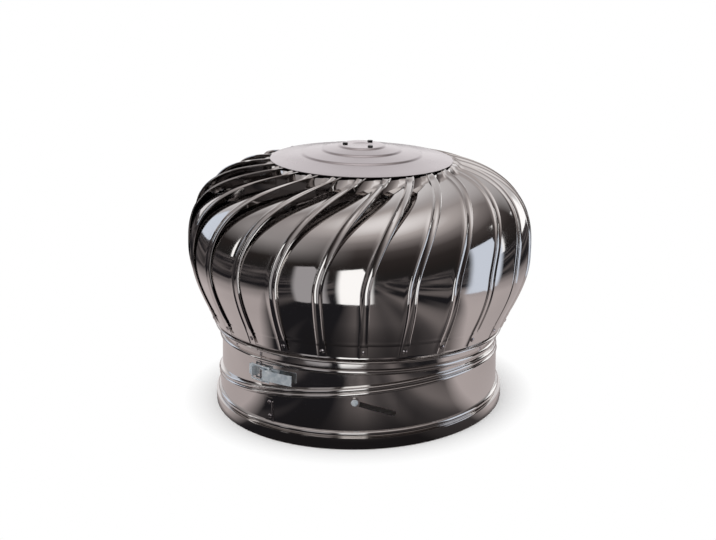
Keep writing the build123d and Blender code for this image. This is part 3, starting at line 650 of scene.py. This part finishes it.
# %% [markdown]
# ## Zinc plate
#
# The latch, the lock screw and the nuts are mild steel with bright zinc plate and a
# blue passivation.  To the eye it is cooler, paler and cloudier than the steel sheet.
# The passivation is a thin film over the metal that scatters some of the light, so this
# finish isn't fully metallic: Metallic is 0.7, which keeps it pale in a dark room.

# %% Blue zinc plate
PLATE_SIZE = 9
zinc, tree, shader = new_metal("blue_zinc_plate")
spot = add(tree, "ShaderNodeTexCoord").outputs["Object"]
cloud = add(tree, "ShaderNodeTexNoise", {"Scale": per_metre(PLATE_SIZE), "Detail": 3.0}, {"Vector": spot})
tint = add(tree, "ShaderNodeValToRGB", (), {"Fac": cloud.outputs["Fac"]})
deep, light = tint.color_ramp.elements
deep.position, deep.color = 0.35, linear("#c3ced6")
light.position, light.color = 0.7, linear("#e9eff3")
haze = add(tree, "ShaderNodeMapRange", {"To Min": 0.4, "To Max": 0.6}, {"Value": cloud.outputs["Fac"]})
shader.inputs["Metallic"].default_value = 0.7
tree.links.new(tint.outputs["Color"], shader.inputs["Base Color"])
tree.links.new(haze.outputs["Result"], shader.inputs["Roughness"])
print(zinc.name, len(tree.nodes), "nodes")

# %% [markdown]
# ## Ground steel
#
# The shaft and the rings of the bearings are ground, which leaves steel bright but for
# a haze of fine marks.  The marks are finer than a render can show, so a patchy
# roughness of a few millimetres stands for them.

# %% Ground shaft and bearing rings
GRIT_SIZE = 4
ground, tree, shader = new_metal("ground_shaft_steel")
spot = add(tree, "ShaderNodeTexCoord").outputs["Object"]
marks = add(tree, "ShaderNodeTexNoise", {"Scale": per_metre(GRIT_SIZE), "Detail": 3.0}, {"Vector": spot})
haze = add(tree, "ShaderNodeMapRange", {"To Min": 0.18, "To Max": 0.34}, {"Value": marks.outputs["Fac"]})
shader.inputs["Base Color"].default_value = linear("#b4b2af")
tree.links.new(haze.outputs["Result"], shader.inputs["Roughness"])
print(ground.name, len(tree.nodes), "nodes")

# %% [markdown]
# ## Drawn brass
#
# The ball cages are drawn from brass strip.  Brass has a warm colour of its own, which
# a metallic shader takes from its base colour, and the drawing leaves it a little
# rougher than the ground rings beside it.

# %% Brass ball cages
DRAW_SIZE = 3
brass, tree, shader = new_metal("drawn_brass_cage")
spot = add(tree, "ShaderNodeTexCoord").outputs["Object"]
marks = add(tree, "ShaderNodeTexNoise", {"Scale": per_metre(DRAW_SIZE), "Detail": 2.0}, {"Vector": spot})
haze = add(tree, "ShaderNodeMapRange", {"To Min": 0.22, "To Max": 0.38}, {"Value": marks.outputs["Fac"]})
shader.inputs["Base Color"].default_value = linear("#c9a35b")
tree.links.new(haze.outputs["Result"], shader.inputs["Roughness"])
print(brass.name, len(tree.nodes), "nodes")

# %% [markdown]
# ## Black oxide
#
# The three screws on the crown are steel with a black oxide, a conversion coat that
# leaves the metal dark with a dull shine.  Where it is worn it turns grey, so the
# colour runs between the two by a noise of a few millimetres.

# %% Black oxide screws
WEAR_SIZE = 3
black_oxide, tree, shader = new_metal("black_oxide_steel")
spot = add(tree, "ShaderNodeTexCoord").outputs["Object"]
wear = add(tree, "ShaderNodeTexNoise", {"Scale": per_metre(WEAR_SIZE), "Detail": 3.0}, {"Vector": spot})
tint = add(tree, "ShaderNodeValToRGB", (), {"Fac": wear.outputs["Fac"]})
whole, worn = tint.color_ramp.elements
whole.position, whole.color = 0.4, linear("#2b2a2c")
worn.position, worn.color = 0.8, linear("#5a5759")
shader.inputs["Roughness"].default_value = 0.4
tree.links.new(tint.outputs["Color"], shader.inputs["Base Color"])
print(black_oxide.name, len(tree.nodes), "nodes")

# %% [markdown]
# ## Giving out the finishes
#
# Most of the ventilator is polished sheet, so a list of the pieces that differ is
# enough, and a node that isn't in it gets the polished finish.  A CAD node that a
# modelled piece replaces is hidden, but it gets its finish too, so that no node is left
# without one.

# %% Give every piece its finish
FINISH_OF_NODE = {
    "crown_cap": satin, "ring_rivets": satin, "spider_rivets": satin, "seam_rivets": satin,
    "bracket_rivets": satin, "lock_screw": zinc, "lock_nut": zinc,
    "latch_base": zinc, "latch_keeper": zinc, "latch_rivets": zinc, "lever_pin": zinc,
    "latch_lever": zinc, "latch_loop": zinc, "shaft_nuts": zinc, "shaft_washers": zinc,
    "housing_screws": black_oxide, "shaft": ground, "lower_inner_race": ground,
    "upper_inner_race": ground, "lower_outer_race": ground, "upper_outer_race": ground,
    "lower_ball_cage": brass, "upper_ball_cage": brass,
}
for name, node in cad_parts.items():
    node.data.materials.clear()
    node.data.materials.append(FINISH_OF_NODE.get(name, polished))
for piece in vane_shells + bead_pieces:
    piece.data.materials.append(polished)
for piece in lip_pieces + [crown]:
    piece.data.materials.append(satin)
print("finishes given to", len(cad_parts), "CAD nodes and", len(vane_shells + bead_pieces), "shells")

# %% [markdown]
# ## The studio
#
# A mirror shows what stands round it, so the studio is built for the metal: a dim room
# with a pale ceiling, bright windows close by, and a floor that is dark in front and
# pale at the sides.  An HDR picture could light it, but a few glowing cards are easier
# to move, and a script needs no file for them.  The cards are seen only in reflections.
#
# The light of a real window dies away at its sides, behind curtains and a frame.  So
# each card fades out towards its left and right edges, by the card's own UV map.


# %% Helpers for the reflections
CARD_FADE = 0.14        # share of a card's width over which a side fades


def glow(name, colour, strength=1.0):
    """A glowing material that fades out at the left and right edges of its card."""
    material = bpy.data.materials.new(name)
    material.use_nodes = True
    tree = material.node_tree
    tree.nodes.clear()
    light = add(tree, "ShaderNodeEmission", {"Color": linear(colour), "Strength": strength})
    place = add(tree, "ShaderNodeTexCoord")
    split = add(tree, "ShaderNodeSeparateXYZ", (), {"Vector": place.outputs["UV"]})
    across = split.outputs["X"]
    left = add(tree, "ShaderNodeMapRange", {"From Min": 0.0, "From Max": CARD_FADE}, {"Value": across})
    right = add(tree, "ShaderNodeMapRange", {"From Min": 1.0, "From Max": 1 - CARD_FADE}, {"Value": across})
    inside = add(
        tree, "ShaderNodeMath", {"operation": "MULTIPLY"},
        {0: left.outputs["Result"], 1: right.outputs["Result"]},
    )
    clear = add(tree, "ShaderNodeBsdfTransparent")
    mix = add(
        tree, "ShaderNodeMixShader", (),
        {0: inside.outputs[0], 1: clear.outputs["BSDF"], 2: light.outputs["Emission"]},
    )
    add(tree, "ShaderNodeOutputMaterial", (), {"Surface": mix.outputs["Shader"]})
    return material


def reflection_only(obj, material):
    obj.data.materials.append(material)
    obj.visible_camera = False
    obj.visible_diffuse = False
    obj.visible_transmission = False
    obj.visible_shadow = False


print("helpers", glow.__name__, reflection_only.__name__)

# %% [markdown]
# ## The windows
#
# Each window is a card that faces the head.  The vanes are curved, so a window far off
# shows as a thread in them, and one close by shows as a broad panel.  The three near
# windows give the panels in front and to the right.  The far ones draw bright lines
# down both sides and light the back.

# %% Glass and places of the windows
CARD_CENTRE = Vector((0, 0, 0.25))
NEAR, NEAR_RIGHT, FAR = 0.62, 0.7, 3.5            # metres from the centre
white_glass = glow("window_white", "#ffffff", 1.3)
cool_glass = glow("window_cool", "#dfe8f6")
grey_glass = glow("window_grey", "#a9a6a8")
dim_glass = glow("window_dim", "#b9b6b8")
WINDOWS = [     # name, azimuth, elevation, width and height in degrees, glass, distance
    ("window_front", -4, -4.6, 20, 28.0, white_glass, NEAR),
    ("window_beside", -27.4, -4.6, 20, 28.0, grey_glass, NEAR),
    ("window_right", 73.5, -1.6, 29, 36.4, cool_glass, NEAR_RIGHT),
    ("window_left", -58, 0, 8, 20, dim_glass, FAR),
    ("strip_left", -92, 4, 5, 50, white_glass, FAR),
    ("strip_right", 100, 4, 5, 50, white_glass, FAR),
    ("window_back_left", -128, 6, 20, 34, cool_glass, FAR),
    ("window_back_right", 134, 4, 22, 34, white_glass, FAR),
]
print("windows", [window[0] for window in WINDOWS])


# %% Place the window cards
def card(name, azimuth, elevation, width, height, material, distance):
    """A flat card that faces the centre; azimuth 0 is in front, positive to the right."""
    a, e = math.radians(azimuth), math.radians(elevation)
    direction = Vector((math.sin(a) * math.cos(e), -math.cos(a) * math.cos(e), math.sin(e)))
    bpy.ops.object.select_all(action="DESELECT")
    bpy.ops.mesh.primitive_plane_add(size=1, location=CARD_CENTRE + direction * distance)
    obj = bpy.context.object
    obj.name = name
    wide = 2 * distance * math.tan(math.radians(width / 2))
    tall = 2 * distance * math.tan(math.radians(height / 2))
    obj.scale = (wide, tall, 1)
    obj.rotation_euler = direction.to_track_quat("Z", "Y").to_euler()
    reflection_only(obj, material)


for window in WINDOWS:
    card(*window)
print("cards placed", len(WINDOWS))

# %% [markdown]
# ## The room
#
# Between the windows the metal shows walls and a ceiling.  Four planes would put hard
# corners into every vane, so the room is one ball.  Its tone runs up a ramp from dark
# walls to a pale ceiling.  The wall behind the object is white, which gives the crown
# and the back of the collars their light, and the upper left corner is brighter.

# %% Tones of the room by height
ROOM_RADIUS = 4.0
ROOM_TONES = [      # share of the height from the ball's lowest point, and tone
    (0.45, "#232222"), (0.55, "#292524"), (0.66, "#312c2b"), (0.78, "#4b4544"),
    (0.88, "#857e7d"), (0.95, "#bcb5b3"), (1.0, "#f8f4f4"),
]
room = bpy.data.materials.new("room_shell")
room.use_nodes = True
tree = room.node_tree
tree.nodes.clear()
spot = add(tree, "ShaderNodeTexCoord").outputs["Object"]
split = add(tree, "ShaderNodeSeparateXYZ", (), {"Vector": spot})
level = add(
    tree, "ShaderNodeMapRange", {"From Min": -ROOM_RADIUS, "From Max": ROOM_RADIUS},
    {"Value": split.outputs["Z"]},
)
tone = add(tree, "ShaderNodeValToRGB", (), {"Fac": level.outputs["Result"]})
lowest, highest = tone.color_ramp.elements
lowest.position, lowest.color = ROOM_TONES[0][0], linear(ROOM_TONES[0][1])
highest.position, highest.color = ROOM_TONES[-1][0], linear(ROOM_TONES[-1][1])
for height, colour in ROOM_TONES[1:-1]:
    tone.color_ramp.elements.new(height).color = linear(colour)
print(room.name, "tones", len(tone.color_ramp.elements))

# %% The bright corner and the back wall
CORNER_FROM, CORNER_FULL, CORNER_SHARE = -0.6, -3.4, 0.55      # metres to the left, as X
CORNER_LOW, CORNER_HIGH = 0.6, 2.2
BACK_WALL_FROM, BACK_WALL_FULL = 2.0, 3.8         # metres behind the centre
leftward = add(
    tree, "ShaderNodeMapRange", {"From Min": CORNER_FROM, "From Max": CORNER_FULL, "To Max": CORNER_SHARE},
    {"Value": split.outputs["X"]},
)
upward = add(
    tree, "ShaderNodeMapRange", {"From Min": CORNER_LOW, "From Max": CORNER_HIGH},
    {"Value": split.outputs["Z"]},
)
corner = add(
    tree, "ShaderNodeMath", {"operation": "MULTIPLY"},
    {0: leftward.outputs["Result"], 1: upward.outputs["Result"]},
)
walls = add(
    tree, "ShaderNodeMixRGB", {"Color2": linear("#c9c4c4")},
    {"Fac": corner.outputs[0], "Color1": tone.outputs["Color"]},
)
behind = add(
    tree, "ShaderNodeMapRange", {"From Min": BACK_WALL_FROM, "From Max": BACK_WALL_FULL},
    {"Value": split.outputs["Y"]},
)
whole = add(
    tree, "ShaderNodeMixRGB", {"Color2": linear("#fbf8f9")},
    {"Fac": behind.outputs["Result"], "Color1": walls.outputs["Color"]},
)
light = add(tree, "ShaderNodeEmission", {"Strength": 1.0}, {"Color": whole.outputs["Color"]})
add(tree, "ShaderNodeOutputMaterial", (), {"Surface": light.outputs["Emission"]})
print(room.name, len(tree.nodes), "nodes")

# %% Model the room
bpy.ops.object.select_all(action="DESELECT")
bpy.ops.mesh.primitive_uv_sphere_add(segments=48, ring_count=24, radius=ROOM_RADIUS, location=CARD_CENTRE)
ball = bpy.context.object
ball.name = "room"
reflection_only(ball, room)
print("room of", ROOM_RADIUS, "m")

# %% [markdown]
# ## The mat under the ventilator
#
# The lower half of every vane and both collars show the floor.  A real floor isn't one
# tone: it is dark in front, with a few streaks, and pale beside the object.  Close under
# the object the mat is painted darker, which is painted shade, and inside the collar's
# radius it is a dim grey, which is painted shade of the duct.  Several cards could lie side
# by side, but their edges would show in the metal, so one round card carries soft masks.
# Each mask is a distance: from the centre, from the middle line, or slanting back from it.

# %% Where the mat is dark and where it is pale
MAT_RADIUS = 4.1
PALE_SLANT, PALE_WIDTH = 1.4, 0.12                # pale where |x| + 1.4 y is over 0.12
PALE_FULL, PALE_END = 0.6, 1.0                    # metres from the centre
# Inside the skirt's edge the pale part stops, and inside the throat edge the mat turns a dim grey, which is
# painted shade of the duct.
SKIRT_EDGE, THROAT_SHADE_EDGE = 0.25, 0.24
# Painted shade close under the object: plain dark out to the first radius, streaks back by the second.
SHADE_UNDER_FULL, SHADE_UNDER_END = 0.28, 0.42
BESIDE_FROM, BESIDE_FULL = 0.12, 0.24
STREAK_STRETCH = (5.0, 0.6, 1.0)
SOFT = 0.01

mat = bpy.data.materials.new("mat")
mat.use_nodes = True
tree = mat.node_tree
tree.nodes.clear()
spot = add(tree, "ShaderNodeTexCoord").outputs["Object"]
split = add(tree, "ShaderNodeSeparateXYZ", (), {"Vector": spot})
reach = add(tree, "ShaderNodeVectorMath", {"operation": "LENGTH"}, {0: spot})
aside = add(tree, "ShaderNodeMath", {"operation": "ABSOLUTE"}, {0: split.outputs["X"]})
back = add(tree, "ShaderNodeMath", {"operation": "MULTIPLY", 1: PALE_SLANT}, {0: split.outputs["Y"]})
slant = add(tree, "ShaderNodeMath", {"operation": "ADD"}, {0: aside.outputs[0], 1: back.outputs[0]})
print(mat.name, "measures set")

# %% The pale part of the mat
pale = add(tree, "ShaderNodeMapRange", {"From Min": 0.0, "From Max": PALE_WIDTH}, {"Value": slant.outputs[0]})
near = add(
    tree, "ShaderNodeMapRange", {"From Min": PALE_END, "From Max": PALE_FULL},
    {"Value": reach.outputs["Value"]},
)
outside = add(
    tree, "ShaderNodeMapRange", {"From Min": SKIRT_EDGE, "From Max": SKIRT_EDGE + SOFT},
    {"Value": reach.outputs["Value"]},
)
patches = add(tree, "ShaderNodeTexNoise", {"Scale": 1.5, "Detail": 2.0}, {"Vector": spot})
patchy = add(
    tree, "ShaderNodeMapRange", {"From Min": 0.3, "From Max": 0.7, "To Min": 0.75, "To Max": 1.0},
    {"Value": patches.outputs["Fac"]},
)
lit = pale
for mask in (near, outside, patchy):
    lit = add(
        tree, "ShaderNodeMath", {"operation": "MULTIPLY"},
        {0: lit.outputs[0], 1: mask.outputs["Result"]},
    )
print(mat.name, "pale part", len(tree.nodes), "nodes")

# %% The dark part of the mat, with painted shade under the object
drawn = add(tree, "ShaderNodeMapping", {"Scale": STREAK_STRETCH}, {"Vector": spot})
streaks = add(tree, "ShaderNodeTexNoise", {"Scale": 1.0, "Detail": 1.5}, {"Vector": drawn.outputs["Vector"]})
dark = add(tree, "ShaderNodeValToRGB", (), {"Fac": streaks.outputs["Fac"]})
floor_tone, streak_tone = dark.color_ramp.elements
floor_tone.position, floor_tone.color = 0.45, linear("#1f1e21")
streak_tone.position, streak_tone.color = 0.75, linear("#77706f")
# Painted shade: close under the object and near the middle line the streaks give way to plain #1d1b1c.
away = add(
    tree, "ShaderNodeMapRange", {"From Min": SHADE_UNDER_FULL, "From Max": SHADE_UNDER_END},
    {"Value": reach.outputs["Value"]},
)
beside = add(
    tree, "ShaderNodeMapRange", {"From Min": BESIDE_FROM, "From Max": BESIDE_FULL},
    {"Value": aside.outputs[0]},
)
clear_of_painted_shade = add(
    tree, "ShaderNodeMath", {"operation": "MAXIMUM"},
    {0: away.outputs["Result"], 1: beside.outputs["Result"]},
)
dark = add(
    tree, "ShaderNodeMixRGB", {"Color1": linear("#1d1b1c")},
    {"Fac": clear_of_painted_shade.outputs[0], "Color2": dark.outputs["Color"]},
)
print(mat.name, "streaks stretched", STREAK_STRETCH)

# %% The whole mat
both = add(
    tree, "ShaderNodeMixRGB", {"Color2": linear("#c6bcbb")},
    {"Fac": lit.outputs[0], "Color1": dark.outputs["Color"]},
)
# Painted shade: inside the collar's radius the mat is a plain dim grey, #403c3c, for the shaded inside of the
# duct.
throat_shade = add(
    tree, "ShaderNodeMapRange", {"From Min": THROAT_SHADE_EDGE, "From Max": THROAT_SHADE_EDGE - 4 * SOFT},
    {"Value": reach.outputs["Value"]},
)
whole = add(
    tree, "ShaderNodeMixRGB", {"Color2": linear("#403c3c")},
    {"Fac": throat_shade.outputs["Result"], "Color1": both.outputs["Color"]},
)
light = add(tree, "ShaderNodeEmission", {"Strength": 1.0}, {"Color": whole.outputs["Color"]})
add(tree, "ShaderNodeOutputMaterial", (), {"Surface": light.outputs["Emission"]})
bpy.ops.object.select_all(action="DESELECT")
bpy.ops.mesh.primitive_circle_add(vertices=64, radius=MAT_RADIUS, fill_type="NGON", location=(0, 0, 0.5 * MM))
mat_card = bpy.context.object
mat_card.name = "mat_card"
reflection_only(mat_card, mat)
print(mat.name, len(tree.nodes), "nodes")

# %% [markdown]
# ## The white floor
#
# The object stands on white paper and leaves a faint shadow where it touches.  Paper
# that only reflects light would look grey, and paper that glows would have no shadow.
# So it is matt paper close to the skirt and fades into a white glow beyond it, and only
# the camera and the reflections see the glow.

# %% White paper
SHADOW_END = 0.31
paper = bpy.data.materials.new("white_paper_floor")
paper.use_nodes = True
tree = paper.node_tree
shader = tree.nodes["Principled BSDF"]
shader.inputs["Base Color"].default_value = linear("#f7f7f7")
shader.inputs["Roughness"].default_value = 0.9
shader.inputs["Specular IOR Level"].default_value = 0.1
spot = add(tree, "ShaderNodeTexCoord").outputs["Object"]
reach = add(tree, "ShaderNodeVectorMath", {"operation": "LENGTH"}, {0: spot})
fade = add(
    tree, "ShaderNodeMapRange", {"From Min": SKIRT_EDGE, "From Max": SHADOW_END},
    {"Value": reach.outputs["Value"]},
)
rays = add(tree, "ShaderNodeLightPath")
seen = add(
    tree, "ShaderNodeMath", {"operation": "MAXIMUM"},
    {0: rays.outputs["Is Camera Ray"], 1: rays.outputs["Is Glossy Ray"]},
)
seen = add(
    tree, "ShaderNodeMath", {"operation": "MAXIMUM"},
    {0: seen.outputs[0], 1: rays.outputs["Is Transmission Ray"]},
)
share = add(
    tree, "ShaderNodeMath", {"operation": "MULTIPLY"},
    {0: fade.outputs["Result"], 1: seen.outputs[0]},
)
white = add(tree, "ShaderNodeEmission", {"Strength": 1.0})
mix = add(
    tree, "ShaderNodeMixShader", (),
    {0: share.outputs[0], 1: shader.outputs["BSDF"], 2: white.outputs["Emission"]},
)
tree.links.new(mix.outputs["Shader"], tree.nodes["Material Output"].inputs["Surface"])
print(paper.name, len(tree.nodes), "nodes")

# %% Lay the floor
FLOOR_RADIUS = 12
bpy.ops.object.select_all(action="DESELECT")
bpy.ops.mesh.primitive_circle_add(
    vertices=96, radius=FLOOR_RADIUS, fill_type="NGON", location=(0, 0, -0.5 * MM),
)
floor = bpy.context.object
floor.name = "floor"
floor.data.materials.append(paper)
print("floor radius", FLOOR_RADIUS, "m")

# %% [markdown]
# ## Background and lamps
#
# The world is plain white, so it fills the shadows softly and gives the white
# background.  Two softboxes light what scatters light, which is the paper and the film
# on the zinc plate.  They are hidden from the mirror, which has its windows already.

# %% White world
world = bpy.data.worlds.new("studio")
bpy.context.scene.world = world
world.use_nodes = True
tree = world.node_tree
tree.nodes.clear()
white = add(tree, "ShaderNodeBackground", {"Color": linear("#ffffff"), "Strength": 1.0})
add(tree, "ShaderNodeOutputWorld", (), {"Surface": white.outputs["Background"]})
print(world.name, "strength", white.inputs["Strength"].default_value)

# %% Softboxes
LAMP_AIM = Vector((0, 0, 0.2))


def softbox(name, place, size, watts):
    lamp = bpy.data.lights.new(name, "AREA")
    lamp.shape = "SQUARE"
    lamp.size = size
    lamp.energy = watts
    obj = bpy.data.objects.new(name, lamp)
    bpy.context.scene.collection.objects.link(obj)
    obj.location = place
    obj.rotation_euler = (LAMP_AIM - Vector(place)).to_track_quat("-Z", "Y").to_euler()
    obj.visible_glossy = False


softbox("softbox_left", (-1.8, -1.6, 2.4), 1.4, 18)
softbox("softbox_right", (2.0, -0.6, 2.2), 1.2, 8)
print("lamps", [lamp.name for lamp in bpy.data.lights])

# %% [markdown]
# ## The camera
#
# The camera stands a little above the head, three metres away, with a long lens, so
# the ellipses of the crown and the collars open only slightly.  It is aimed by a
# direction and not by typed angles, so moving it keeps the object in the middle.

# %% Camera
AIM = Vector((2.5, 0, 227)) * MM
ELEVATION, DISTANCE, ROLL = math.radians(18.9), 3.0, math.radians(0.9)
camera_data = bpy.data.cameras.new("camera")
camera_data.lens = 86.58
camera_data.sensor_width = 36.0
camera = bpy.data.objects.new("camera", camera_data)
bpy.context.scene.collection.objects.link(camera)
towards_camera = Vector((0, -math.cos(ELEVATION), math.sin(ELEVATION)))
camera.location = AIM + towards_camera * DISTANCE
look = (-towards_camera).to_track_quat("-Z", "Y").to_matrix()
camera.rotation_euler = (look @ Matrix.Rotation(-ROLL, 3, "Z")).to_euler()
bpy.context.scene.camera = camera
bpy.context.scene.view_settings.view_transform = "Standard"
print("camera", [round(c, 3) for c in camera.location])
